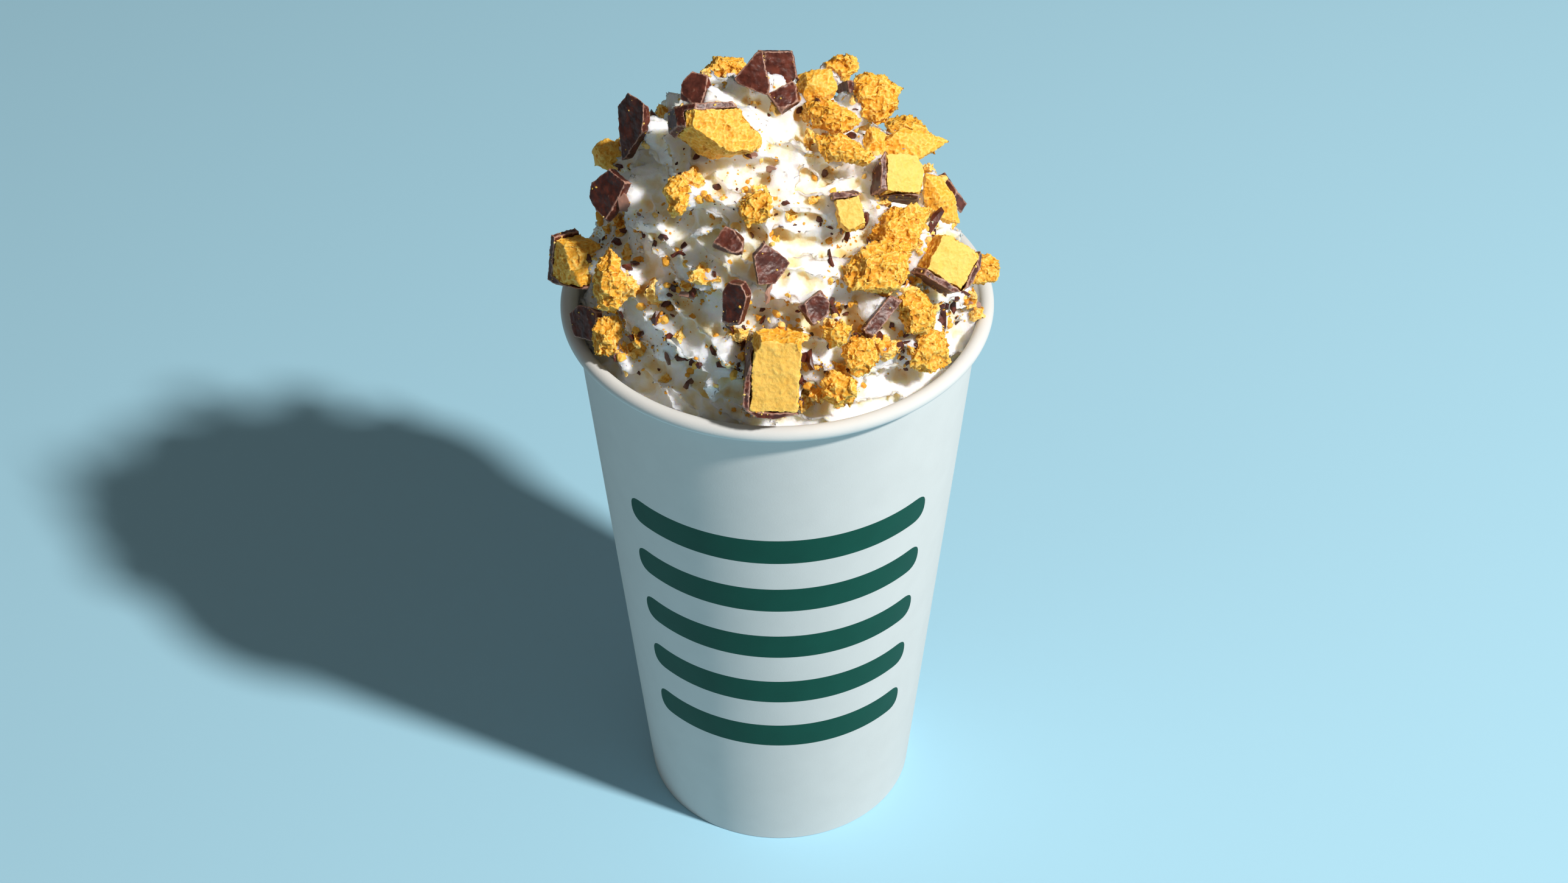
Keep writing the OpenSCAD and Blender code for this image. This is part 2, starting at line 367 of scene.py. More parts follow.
def lap_at(bearing, z):
    under_lip = 1 - ease(z, LIP_Z - 6 * MM, LIP_Z - 2 * MM)
    return LAP * ease(bearing, 161, 168) * ease(z, 0.3 * MM, 3 * MM) * under_lip


def printed_skin(bottom, top, rows):
    """The flat skin's corners and triangles, and which of them take ink."""
    half = 180 * MM_PER_DEGREE
    low, high = bottom / MM, top / MM
    points, edges, faces = [], [], []
    for k in range(WALL_STEPS + 1):
        x = half * (2 * k / WALL_STEPS - 1)
        points += [Vector((x, low)), Vector((x, high))]
        edges.append((len(points) - 2, len(points) - 1))
    for k in range(rows + 1):
        z = low + (high - low) * k / rows
        points += [Vector((-half, z)), Vector((half, z))]
        edges.append((len(points) - 2, len(points) - 1))
    for outline in inked:
        faces.append(list(range(len(points), len(points) + len(outline))))
        points += outline
    cut = delaunay_2d_cdt(points, edges, faces, 0, 1e-5)
    takes_ink = [bool(owners) for owners in cut[5]]
    return cut[0], cut[2], takes_ink


def lip_and_inside():
    """The rest of the section, from the top of the printed skin round to its bottom."""
    curl_x = RIM_R - LIP_R
    turn = math.radians(225)
    for _ in range(20):
        join_z = LIP_Z + LIP_R * math.sin(turn)
        turn = 2 * math.pi - math.acos((wall_r(join_z) - curl_x) / LIP_R)
    start, end, steps = turn - 2 * math.pi, math.pi, 26
    section = []
    for k in range(steps + 1):
        a = start + (end - start) * k / steps
        section.append((curl_x + LIP_R * math.cos(a), LIP_Z + LIP_R * math.sin(a)))
    section += [(wall_r(z) - BOARD, z) for z in (LIP_Z * 0.96, LIP_Z * 0.9, LIP_Z * 0.5, BOARD)]
    fold_r = wall_r(FOLD_TOP) - FOLD
    section += [(wall_r(BOARD) - FOLD + BOARD, BOARD), (fold_r + BOARD, FOLD_TOP - 0.2 * MM),
                (fold_r + BOARD / 2, FOLD_TOP - 0.1 * MM), (fold_r, FOLD_TOP - 0.2 * MM),
                (wall_r(0) - FOLD, FOOT_ROUND), (wall_r(0) - FOLD + FOOT_ROUND, 0),
                (wall_r(0) - FOOT_ROUND, 0), (wall_r(FOOT_ROUND), FOOT_ROUND)]
    return section


def make_cup_wall():
    section = lip_and_inside()
    bottom, top, rows = FOOT_ROUND, section[0][1], 15
    flat, triangles, takes_ink = printed_skin(bottom, top, rows)
    points, faces, ink_faces = [], [], []
    for p in flat:
        bearing, z = p.x / MM_PER_DEGREE, p.y * MM
        points.append(on_wall(bearing, wall_r(z) + lap_at(bearing, z), z))
    for triangle, inky in zip(triangles, takes_ink):
        faces.append(tuple(triangle))
        ink_faces.append(inky)
    first = len(points)
    width = WALL_STEPS + 1
    for radius, z in section:
        points += [on_wall(360 * k / WALL_STEPS - 180, radius, z) for k in range(width)]
    for row in range(len(section) - 1):
        for k in range(WALL_STEPS):
            a = first + row * width + k
            faces.append((a, a + 1, a + width + 1, a + width))
    first = len(points)
    for k in range(rows + 1):
        z = bottom + (top - bottom) * k / rows
        points += [on_wall(180, wall_r(z) + lap_at(180, z), z), on_wall(180, wall_r(z), z)]
    for k in range(rows):
        a = first + 2 * k
        faces.append((a, a + 1, a + 3, a + 2))
    mesh = bpy.data.meshes.new("cup_wall_rolled")
    mesh.from_pydata(points, [], faces)
    mesh.materials.append(paper)
    mesh.materials.append(ink)
    for face, inky in zip(mesh.polygons, ink_faces):
        face.material_index = int(inky)
    wall = new_piece("cup_wall_rolled", mesh)
    weld(mesh, 0.002 * MM)
    shade_by_angle(mesh, 30)
    return wall


def weld(mesh, distance):
    work = bmesh.new()
    work.from_mesh(mesh)
    bmesh.ops.remove_doubles(work, verts=work.verts, dist=distance)
    bmesh.ops.dissolve_degenerate(work, edges=work.edges, dist=distance / 10)
    work.to_mesh(mesh)
    work.free()


def shade_by_angle(mesh, degrees):
    for face in mesh.polygons:
        face.use_smooth = True
    mesh.set_sharp_from_angle(angle=math.radians(degrees))


cup = make_cup_wall()
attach(cup, "root")
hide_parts("cup_wall")
print("cup wall:", len(cup.data.polygons), "faces")

# %% [markdown]
# ## The base and the drink
#
# The base disc and the drink already have their true shapes, so they only need their finish. The drink is
# thick vanilla shake: milk fat and air make it opaque, and light goes a few millimetres in.

# %% Base and drink
def make_dairy(name, colour, hollow_shade_colour, scatter):
    material, tree, shader, place = new_material(name)
    # Painted shade: points deep in a hollow take the warmer colour, for light bounced about in a fold.
    depth = add(tree, "ShaderNodeAttribute", attribute_name="hollow")
    painted_warm_shade = add(tree, "ShaderNodeMapRange",
               {"Value": depth.outputs["Fac"], "From Min": 0.3, "From Max": 1.4})
    tone = add(tree, "ShaderNodeMix", {0: painted_warm_shade.outputs[0], 6: linear(colour), 7: linear(hollow_shade_colour)},
               data_type="RGBA")
    froth = add(tree, "ShaderNodeTexNoise", {"Vector": place, "Scale": 1 / (0.8 * MM), "Detail": 4.0,
                                             "Roughness": 0.65})
    bump = add(tree, "ShaderNodeBump",
               {"Height": froth.outputs["Fac"], "Distance": 0.3 * MM, "Strength": 0.8})
    tree.links.new(tone.outputs[2], shader.inputs["Base Color"])
    tree.links.new(bump.outputs["Normal"], shader.inputs["Normal"])
    shader.inputs["Roughness"].default_value = 0.5
    shader.inputs["IOR"].default_value = 1.4
    shader.inputs["Specular IOR Level"].default_value = 0.35
    shader.inputs["Subsurface Weight"].default_value = 0.9
    shader.inputs["Subsurface Radius"].default_value = (1.0, 0.85, 0.6)
    shader.inputs["Subsurface Scale"].default_value = scatter
    return material


shake = make_dairy("Vanilla shake", "#f6ead0", "#ead7ad", 3 * MM)
whipped = make_dairy("Whipped dairy cream", "#fffefb", "#f2d896", 3 * MM)
for node, finish in (("cup_base", paper), ("milkshake", shake)):
    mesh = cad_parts[node].data
    mesh.materials.clear()
    mesh.materials.append(finish)

# %% [markdown]
# ## The cream's rules
#
# The heap is half an egg that leans a little. A place on it is a bearing round the cup, 0 at the front, and
# a rise from 0 at the edge to 90 at the top. Cream is piped round it in a coil that climbs as it goes
# backwards round the cup, so the rope's path is worked out from the same two numbers.

# %% Heap
TURNS = 5
LEAN = 3.5 * MM
ROUNDING = 1.15


def heap_facing(rise):
    c, s = max(1e-3, math.cos(math.radians(rise))), math.sin(math.radians(rise))
    return Vector((HEAP_H * c, HEAP_R * ROUNDING * c ** (ROUNDING - 1) * s)).normalized()


def lean_at(bearing, rise):
    c, s = math.cos(math.radians(rise)), math.sin(math.radians(rise))
    return 3 * LEAN * math.cos(math.radians(bearing + 80)) * s ** 3 * c


def heap_point(bearing, rise, lift):
    out, up = heap_facing(rise) * (lift + lean_at(bearing, rise))
    c, s = max(0.0, math.cos(math.radians(rise))), math.sin(math.radians(rise))
    return on_wall(bearing, HEAP_R * c ** ROUNDING + out, EDGE_Z + HEAP_H * s + up)


def make_core(inset, bottom):
    """A plain closed heap inside the piping, so that no gap between the turns goes right through."""
    around, up = 64, 24
    work = bmesh.new()
    rings = [[on_wall(360 * k / around, wall_r(bottom) - BOARD - 0.2 * MM, bottom) for k in range(around)]]
    rings += [[heap_point(360 * k / around, 88 * j / up, -inset * ease(88 * j / up, -1, 8))
               for k in range(around)] for j in range(up)]
    rings = [[work.verts.new(p) for p in ring] for ring in rings]
    for low, high in zip(rings, rings[1:]):
        for k in range(around):
            work.faces.new((low[k], low[(k + 1) % around], high[(k + 1) % around], high[k]))
    work.faces.new(list(reversed(rings[0])))
    work.faces.new(rings[-1])
    mesh = bpy.data.meshes.new("cream_core")
    work.to_mesh(mesh)
    work.free()
    return new_piece("cream_core", mesh)

# %% [markdown]
# ## Piping the cream
#
# Cream leaves a star nozzle as a ribbed rope. A Geometry Nodes tree sweeps a star along the coil's path:
# the star turns as the bag is twisted, and swells and thins as it is squeezed. The path is a row of points
# that the heap's rules give. The rope and the core are then fused by a voxel remesh, which also gives
# the even mesh that fine displacement needs.

# %% Star-nozzle rope
def make_piping_tree():
    tree, sizes, result = geometry_tree("Rope from a star nozzle", **{
        "Rope radius": 1.0, "Ribs": 8, "Rib depth": 1.0, "Twist": 1.0, "Pulses": 1.0, "Pulse depth": 1.0,
        "Tip share": 1.0})
    path = add(tree, "GeometryNodeMeshToCurve", {"Mesh": sizes["Geometry"]})
    along = add(tree, "GeometryNodeSplineParameter").outputs["Factor"]
    turn = add(tree, "ShaderNodeMath", {0: along, 1: sizes["Twist"]}, operation="MULTIPLY")
    twisted = add(tree, "GeometryNodeSetCurveTilt", {"Curve": path.outputs[0], "Tilt": turn.outputs[0]})
    beat = add(tree, "ShaderNodeMath", {0: along, 1: sizes["Pulses"]}, operation="MULTIPLY")
    wave = add(tree, "ShaderNodeMath", {0: beat.outputs[0]}, operation="SINE")
    swell = add(tree, "ShaderNodeMath", {0: wave.outputs[0], 1: sizes["Pulse depth"], 2: 1.0},
                operation="MULTIPLY_ADD")
    thin = add(tree, "ShaderNodeMapRange", {"Value": along, "From Min": 0.4, "From Max": 1.0, "To Min": 1.0,
                                            "To Max": sizes["Tip share"]})
    girth = add(tree, "ShaderNodeMath", {0: swell.outputs[0], 1: thin.outputs[0]}, operation="MULTIPLY")
    radius = add(tree, "ShaderNodeMath",
                 {0: girth.outputs[0], 1: sizes["Rope radius"]}, operation="MULTIPLY")
    inner = add(tree, "ShaderNodeMath", {0: 1.0, 1: sizes["Rib depth"]}, operation="SUBTRACT")
    star = add(tree, "GeometryNodeCurveStar", {"Points": sizes["Ribs"], "Inner Radius": inner.outputs[0],
                                               "Outer Radius": 1.0, "Twist": 0.3})
    rope = add(tree, "GeometryNodeCurveToMesh", {"Curve": twisted.outputs[0], "Scale": radius.outputs[0],
                                                 "Profile Curve": star.outputs["Curve"], "Fill Caps": True})
    whole = add(tree, "GeometryNodeRealizeInstances", {0: rope.outputs[0]})
    add_to = add(tree, "GeometryNodeSetMaterial", {0: whole.outputs[0], "Material": whipped})
    tree.links.new(add_to.outputs[0], result)
    return tree


def make_path(count, inset):
    """The coil's path as a row of joined points: one level turn at the edge, then up to the top."""
    points = []
    for k in range(count):
        turns = (TURNS + 1) * k / (count - 1) - 1
        share = max(0.0, turns / TURNS)
        gap = 1.6 * MM * max(0.0, math.cos(math.radians(50 - 360 * turns))) ** 4
        points.append(heap_point(-360 * turns, 86 * share, -inset * (1 - 0.4 * share) - gap))
    mesh = bpy.data.meshes.new("coil_path")
    mesh.from_pydata(points, [(k, k + 1) for k in range(count - 1)], [])
    return new_piece("coil_path", mesh)


ROPE_R = 8 * MM
rope = grow(make_path(1700, ROPE_R * 0.9), make_piping_tree(), **{
    "Rope radius": ROPE_R, "Ribs": 7, "Rib depth": 0.34, "Twist": 55.0, "Pulses": 2 * math.pi * 55,
    "Pulse depth": 0.1, "Tip share": 0.55})
print("rope:", len(rope.data.vertices), "points")

# %% [markdown]
# ## Fusing, tearing and frothing
#
# Real cream is pushed about as it lands, so the joined shape is warped by two soft noises, a slow one that
# shifts whole folds and a quick one that crumples them. After the remesh a second tree tears the ridges and
# froths them. It also writes down how deep in a hollow each point lies, as an attribute: light that
# bounces about in a fold comes out warmer, and the finish uses that number.

# %% Trees for warping and for torn surfaces
def make_warp_tree():
    tree, sizes, result = geometry_tree("Soft warp", **{
        "Slow size": 1.0, "Slow depth": 1.0, "Quick size": 1.0, "Quick depth": 1.0})
    shape = sizes["Geometry"]
    for label in ("Slow", "Quick"):
        place = add(tree, "GeometryNodeInputPosition").outputs[0]
        scale = add(tree, "ShaderNodeMath", {0: 1.0, 1: sizes[label + " size"]}, operation="DIVIDE")
        field_of = add(tree, "ShaderNodeTexNoise",
                       {"Vector": place, "Scale": scale.outputs[0], "Detail": 2.0})
        centred = add(tree, "ShaderNodeVectorMath", {0: field_of.outputs["Color"], 1: (0.5, 0.5, 0.5)},
                      operation="SUBTRACT")
        push = add(tree, "ShaderNodeVectorMath", {0: centred.outputs[0], "Scale": sizes[label + " depth"]},
                   operation="SCALE")
        moved = add(tree, "GeometryNodeSetPosition", {"Geometry": shape, "Offset": push.outputs[0]})
        shape = moved.outputs[0]
    tree.links.new(shape, result)
    return tree


def make_torn_tree():
    """Rags, round holes and grains on any closed mesh, and how hollow or proud each point is."""
    tree, sizes, result = geometry_tree("Torn surface", **{
        "Rag size": 1.0, "Rag depth": 1.0, "Ridge size": 1.0, "Ridge depth": 1.0, "Hole size": 1.0,
        "Hole depth": 1.0, "Grain size": 1.0, "Grain depth": 1.0, "Fray size": 1.0, "Fray depth": 1.0,
        "Shift": 1.0, "Cut face": (0, 0, 0), "Calm": 1.0, "Blur": 8, "Relief": 1.0,
        "Finish": "material"})
    place = add(tree, "GeometryNodeInputPosition").outputs[0]
    normal = add(tree, "GeometryNodeInputNormal").outputs[0]
    spot = add(tree, "ShaderNodeVectorMath", {0: place, 1: sizes["Shift"]}, operation="ADD").outputs[0]

    looks = add(tree, "ShaderNodeVectorMath", {0: normal, 1: sizes["Cut face"]}, operation="DOT_PRODUCT")
    flat = add(tree, "ShaderNodeMapRange",
               {"Value": looks.outputs["Value"], "From Min": 0.7, "From Max": 0.95})
    marked = add(tree, "GeometryNodeStoreNamedAttribute", {"Geometry": sizes["Geometry"], "Name": "cut",
                                                           "Value": flat.outputs[0]})
    cut = add(tree, "GeometryNodeInputNamedAttribute", {"Name": "cut"}).outputs["Attribute"]
    rough = add(tree, "ShaderNodeMath", {0: cut, 1: sizes["Calm"]}, operation="MULTIPLY")
    wild = add(tree, "ShaderNodeMath", {0: 1.0, 1: rough.outputs[0]}, operation="SUBTRACT").outputs[0]
    shape = marked.outputs[0]

    def scale_of(label, share=1.0):
        return add(tree, "ShaderNodeMath", {0: 1 / share, 1: sizes[label]}, operation="DIVIDE").outputs[0]

    rag = add(tree, "ShaderNodeTexNoise", {"Vector": spot, "Scale": scale_of("Rag size"), "Detail": 3.0})
    centred = add(tree, "ShaderNodeVectorMath", {0: rag.outputs["Color"], 1: (0.5, 0.5, 0.5)},
                  operation="SUBTRACT")
    reach = add(tree, "ShaderNodeMath", {0: wild, 1: sizes["Rag depth"]}, operation="MULTIPLY")
    push = add(tree, "ShaderNodeVectorMath", {0: centred.outputs[0], "Scale": reach.outputs[0]},
               operation="SCALE")
    shape = add(tree, "GeometryNodeSetPosition", {"Geometry": shape, "Offset": push.outputs[0]}).outputs[0]

    def hollow_share(unit):
        """How far a point stands in a hollow, or proud of its surroundings if it is negative."""
        blurred = add(tree, "GeometryNodeBlurAttribute", {"Value": place, "Iterations": sizes["Blur"]},
                      data_type="FLOAT_VECTOR")
        gap = add(tree, "ShaderNodeVectorMath", {0: blurred.outputs[0], 1: place}, operation="SUBTRACT")
        depth = add(tree, "ShaderNodeVectorMath", {0: gap.outputs[0], 1: normal}, operation="DOT_PRODUCT")
        return add(tree, "ShaderNodeMath", {0: depth.outputs["Value"], 1: unit}, operation="DIVIDE")

    crest = add(tree, "ShaderNodeMapRange", {"Value": hollow_share(sizes["Relief"]).outputs[0],
                                             "From Min": -0.05, "From Max": -0.7})
    fray = add(tree, "ShaderNodeTexNoise", {"Vector": spot, "Scale": scale_of("Fray size"), "Detail": 2.0})
    centred = add(tree, "ShaderNodeVectorMath", {0: fray.outputs["Color"], 1: (0.5, 0.5, 0.5)},
                  operation="SUBTRACT")
    reach = add(tree, "ShaderNodeMath", {0: crest.outputs[0], 1: sizes["Fray depth"]}, operation="MULTIPLY")
    push = add(tree, "ShaderNodeVectorMath", {0: centred.outputs[0], "Scale": reach.outputs[0]},
               operation="SCALE")
    shape = add(tree, "GeometryNodeSetPosition", {"Geometry": shape, "Offset": push.outputs[0]}).outputs[0]

    ridge = add(tree, "ShaderNodeTexNoise",
                {"Vector": spot, "Scale": scale_of("Ridge size"), "Detail": 3.0},
                noise_type="RIDGED_MULTIFRACTAL", normalize=True)
    ridge_up = add(tree, "ShaderNodeMath", {0: ridge.outputs["Fac"], 1: 0.5}, operation="SUBTRACT")
    total = add(tree, "ShaderNodeMath", {0: ridge_up.outputs[0], 1: sizes["Ridge depth"]},
                operation="MULTIPLY").outputs[0]
    for share, kept in ((1.0, 0.35), (0.52, 0.3), (0.27, 0.2)):
        cells = add(tree, "ShaderNodeTexVoronoi", {"Vector": spot, "Scale": scale_of("Hole size", share)})
        near = add(tree, "ShaderNodeMath", {0: cells.outputs["Distance"], 1: cells.outputs["Distance"]},
                   operation="MULTIPLY")
        bowl = add(tree, "ShaderNodeMath", {0: 0.25, 1: near.outputs[0]}, operation="SUBTRACT")
        bowl = add(tree, "ShaderNodeMath", {0: bowl.outputs[0], 1: 0.0}, operation="MAXIMUM")
        bowl = add(tree, "ShaderNodeMath", {0: bowl.outputs[0]}, operation="SQRT")
        chance = add(tree, "ShaderNodeSeparateXYZ", {0: cells.outputs["Color"]})
        open_ = add(tree, "ShaderNodeMath", {0: chance.outputs[0], 1: kept}, operation="GREATER_THAN")
        size = add(tree, "ShaderNodeMath", {0: sizes["Hole depth"], 1: -share}, operation="MULTIPLY")
        size = add(tree, "ShaderNodeMath", {0: size.outputs[0], 1: open_.outputs[0]}, operation="MULTIPLY")
        total = add(tree, "ShaderNodeMath", {0: bowl.outputs[0], 1: size.outputs[0], 2: total},
                    operation="MULTIPLY_ADD").outputs[0]
    grain = add(tree, "ShaderNodeTexNoise",
                {"Vector": spot, "Scale": scale_of("Grain size"), "Detail": 2.0})
    grain = add(tree, "ShaderNodeMath", {0: grain.outputs["Fac"], 1: 0.5}, operation="SUBTRACT")
    total = add(tree, "ShaderNodeMath", {0: grain.outputs[0], 1: sizes["Grain depth"], 2: total},
                operation="MULTIPLY_ADD").outputs[0]
    total = add(tree, "ShaderNodeMath", {0: total, 1: wild}, operation="MULTIPLY")
    push = add(tree, "ShaderNodeVectorMath", {0: normal, "Scale": total.outputs[0]}, operation="SCALE")
    shape = add(tree, "GeometryNodeSetPosition", {"Geometry": shape, "Offset": push.outputs[0]}).outputs[0]

    share = hollow_share(sizes["Relief"])
    shape = add(tree, "GeometryNodeStoreNamedAttribute", {"Geometry": shape, "Name": "hollow",
                                                          "Value": share.outputs[0]}).outputs[0]
    whole = add(tree, "GeometryNodeRealizeInstances", {0: shape})
    done = add(tree, "GeometryNodeSetMaterial", {0: whole.outputs[0], "Material": sizes["Finish"]})
    tree.links.new(done.outputs[0], result)
    return tree


warp = make_warp_tree()
torn = make_torn_tree()

# %% [markdown]
# ## Loose dollops
#
# Cream that slips off the rope lies about as loose dollops of many sizes. Points spread at least a set
# distance apart over the core, and each takes a flattened ball at its own turn and size. They lie half
# inside the core and the rope, so the remesh melts them into the folds.

# %% Loose dollops
ANY_TURN = (6.28, 6.28, 6.28)


def make_dollop_tree():
    tree, sizes, result = geometry_tree("Loose dollops", **{
        "Apart": 1.0, "Smallest": 1.0, "Largest": 1.0, "Seed": 1})
    points = add(tree, "GeometryNodeDistributePointsOnFaces", {
        "Mesh": sizes["Geometry"], "Distance Min": sizes["Apart"], "Density Max": 1e5,
        "Seed": sizes["Seed"]}, distribute_method="POISSON")
    turn = add(tree, "FunctionNodeRandomValue", {0: (0, 0, 0), 1: ANY_TURN, "Seed": sizes["Seed"]},
               data_type="FLOAT_VECTOR")
    across = add(tree, "FunctionNodeRandomValue", {2: sizes["Smallest"], 3: sizes["Largest"]})
    uneven = add(tree, "FunctionNodeRandomValue", {0: (0.6, 0.5, 0.3), 1: (1, 0.9, 0.55)},
                 data_type="FLOAT_VECTOR")
    scale = add(tree, "ShaderNodeVectorMath", {0: uneven.outputs[0], "Scale": across.outputs[1]},
                operation="SCALE")
    blob = add(tree, "GeometryNodeMeshIcoSphere", {"Radius": 0.5, "Subdivisions": 4})
    laid = add(tree, "GeometryNodeInstanceOnPoints", {
        "Points": points.outputs["Points"], "Instance": blob.outputs["Mesh"], "Rotation": turn.outputs[0],
        "Scale": scale.outputs[0]})
    whole = add(tree, "GeometryNodeRealizeInstances", {0: laid.outputs[0]})
    done = add(tree, "GeometryNodeSetMaterial", {0: whole.outputs[0], "Material": whipped})
    tree.links.new(done.outputs[0], result)
    return tree


# %% [markdown]
# ## Cream round the toppings
#
# A topping pushed into cream raises it all round. Three balls of cream in a row reach from the middle of
# each topping in towards the heap, so that none hangs in the air once the cream is warped and torn. They
# join after the warp, because they must stay where their topping is.

# %% Whipped cream
CREAM_VOXEL = 0.47 * MM
CREAM_FOOT = 123.2 * MM
SEAT_SHARE = 0.32
SEAT_EXTRA = 1.2 * MM
SEAT_STEPS = 3
MOST_TRIANGLES = 198000


def join_meshes(name, pieces):
    work = bmesh.new()
    for piece in pieces:
        work.from_mesh(piece.data)
        bpy.data.objects.remove(piece)
    mesh = bpy.data.meshes.new(name)
    work.to_mesh(mesh)
    work.free()
    return new_piece(name, mesh)


def keep_in_cup(mesh):
    """Holds the cream inside the wall up to the lip, and lets it bulge only a little above it."""
    for vertex in mesh.vertices:
        p = vertex.co
        limit = wall_r(min(p.z, LIP_Z)) - BOARD - 0.1 * MM + 8 * MM * ease(p.z, CUP_H, CUP_H + 12 * MM)
        radius = p.xy.length
        if radius > limit:
            vertex.co = (p.x * limit / radius, p.y * limit / radius, p.z)


def keep_biggest(mesh):
    """Drops the bubbles that the fusing left inside, which are shells of their own."""
    work = bmesh.new()
    work.from_mesh(mesh)
    left, shells = set(work.verts), []
    while left:
        reached = [left.pop()]
        for vertex in reached:
            for edge in vertex.link_edges:
                other = edge.other_vert(vertex)
                if other in left:
                    left.discard(other)
                    reached.append(other)
        shells.append(reached)
    shells.sort(key=len)
    for shell in shells[:-1]:
        bmesh.ops.delete(work, geom=shell, context="VERTS")
    work.to_mesh(mesh)
    work.free()


def triangles_in(mesh):
    return sum(len(face.vertices) - 2 for face in mesh.polygons)


def thin_out(piece, most):
    """Takes triangles away where the surface is calm until the piece has no more than it may."""
    modifier = piece.modifiers.new("Decimate", "DECIMATE")
    modifier.ratio = min(1.0, most / triangles_in(piece.data))
    return settle(piece)


def slice_off(mesh, at, way):
    """Takes off what lies behind a plane and closes the cut with flat faces."""
    work = bmesh.new()
    work.from_mesh(mesh)
    bmesh.ops.bisect_plane(work, geom=work.verts[:] + work.edges[:] + work.faces[:], dist=1e-6,
                           plane_co=at, plane_no=way, clear_inner=True)
    bmesh.ops.holes_fill(work, edges=[e for e in work.edges if e.is_boundary], sides=0)
    work.to_mesh(mesh)
    work.free()


def make_seats():
    """Cream pushed up behind each topping, from its middle in towards the middle of the heap."""
    work = bmesh.new()
    for node in sorted(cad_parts):
        if not node.startswith(("bar_", "honeycomb_", "chocolate_")) or node.startswith("bar_coat_"):
            continue
        low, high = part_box(node)
        middle = (low + high) / 2
        inward = (Vector((0, 0, max(EDGE_Z - 4 * MM, middle.z - 10 * MM))) - middle).normalized()
        radius = SEAT_SHARE * sorted(high - low)[1] + SEAT_EXTRA
        for step in range(SEAT_STEPS):
            place = Matrix.Translation(middle + inward * radius * (1.05 + step * 0.9))
            bmesh.ops.create_icosphere(work, subdivisions=3, radius=radius, matrix=place)
    mesh = bpy.data.meshes.new("cream_seats")
    work.to_mesh(mesh)
    work.free()
    return new_piece("cream_seats", mesh, whipped)


core = make_core(5 * MM, CREAM_FOOT - 2 * MM)
lumps = grow(make_core(3.5 * MM, CREAM_FOOT + 5 * MM), make_dollop_tree(), **{
    "Apart": 10 * MM, "Smallest": 5 * MM, "Largest": 12 * MM, "Seed": 4})
cream = join_meshes("whipped_cream_piped", [rope, core, lumps])
cream = grow(cream, warp, **{"Slow size": 14 * MM, "Slow depth": 7 * MM, "Quick size": 5 * MM,
                             "Quick depth": 3.6 * MM})
cream = join_meshes("whipped_cream_piped", [cream, make_seats()])
cream = remesh(cream, CREAM_VOXEL)
cream = grow(cream, torn, **{
    "Rag size": 3.6 * MM, "Rag depth": 2.3 * MM, "Ridge size": 6 * MM, "Ridge depth": 1.5 * MM,
    "Hole size": 2.6 * MM, "Hole depth": -0.3 * MM, "Grain size": 0.9 * MM, "Grain depth": 0.35 * MM,
    "Fray size": 1.1 * MM, "Fray depth": 1.6 * MM,
    "Shift": 0.0, "Blur": 50, "Relief": 1.0 * MM, "Finish": whipped})
keep_in_cup(cream.data)
slice_off(cream.data, (0, 0, CREAM_FOOT), (0, 0, 1))
keep_biggest(cream.data)
cream = smooth(thin_out(cream, MOST_TRIANGLES))
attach(cream, "root")
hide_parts("whipped_cream")
print("cream:", triangles_in(cream.data), "triangles")

# %% [markdown]
# ## Honeycomb toffee
#
# Boiled sugar foamed with soda sets as a brittle froth: a golden glass full of round bubbles. Snapped, it
# shows cut-open bubbles of every size and thin sharp walls between them. Cut by a blade it is smooth
# and paler. Light goes in and comes out more orange. The finish also paints the hollows a deeper amber,
# partly the toffee's own colour and partly painted shade, and gives the crests the pale colour.

# %% Honeycomb finish
def make_honeycomb(name, pale, gold, amber_and_hollow_shade):
    material, tree, shader, place = new_material(name)
    hollow = add(tree, "ShaderNodeAttribute", attribute_name="hollow").outputs["Fac"]
    cut = add(tree, "ShaderNodeAttribute", attribute_name="cut").outputs["Fac"]
    # Painted shade, partly the toffee's own colour: the hollows take the deeper amber, the crests the pale
    # colour.
    hollow_shade_share = add(tree, "ShaderNodeMapRange", {"Value": hollow, "From Min": -0.35, "From Max": 0.55})
    tone = add(tree, "ShaderNodeValToRGB", {0: hollow_shade_share.outputs[0]})
    ramp = tone.color_ramp
    ramp.elements[0].color = linear(pale)
    ramp.elements[1].color = linear(amber_and_hollow_shade)
    ramp.elements.new(0.45).color = linear(gold)
    face = add(tree, "ShaderNodeMath", {0: cut, 1: 0.6}, operation="MULTIPLY")
    faced = add(tree, "ShaderNodeMix", {0: face.outputs[0], 6: tone.outputs[0], 7: linear(pale)},
                data_type="RGBA")
    cloud = add(tree, "ShaderNodeTexNoise", {"Vector": place, "Scale": 1 / (2.5 * MM), "Detail": 3.0})
    patch = add(tree, "ShaderNodeMapRange",
                {"Value": cloud.outputs["Fac"], "From Min": 0.45, "From Max": 0.75, "To Max": 0.45})
    varied = add(tree, "ShaderNodeMix", {0: patch.outputs[0], 6: faced.outputs[2], 7: linear(gold)},
                 data_type="RGBA")
    grit = add(tree, "ShaderNodeTexNoise", {"Vector": place, "Scale": 1 / (0.3 * MM), "Detail": 3.0,
                                            "Roughness": 0.7})
    bump = add(tree, "ShaderNodeBump",
               {"Height": grit.outputs["Fac"], "Distance": 0.14 * MM, "Strength": 0.8})
    tree.links.new(varied.outputs[2], shader.inputs["Base Color"])
    tree.links.new(bump.outputs["Normal"], shader.inputs["Normal"])
    shader.inputs["Roughness"].default_value = 0.5
    shader.inputs["IOR"].default_value = 1.5
    shader.inputs["Subsurface Weight"].default_value = 0.25
    shader.inputs["Subsurface Radius"].default_value = (1.0, 0.6, 0.15)
    shader.inputs["Subsurface Scale"].default_value = 0.8 * MM
    return material


toffee = make_honeycomb("Honeycomb toffee, snapped", "#ffd06a", "#fab433", "#d98f1a")
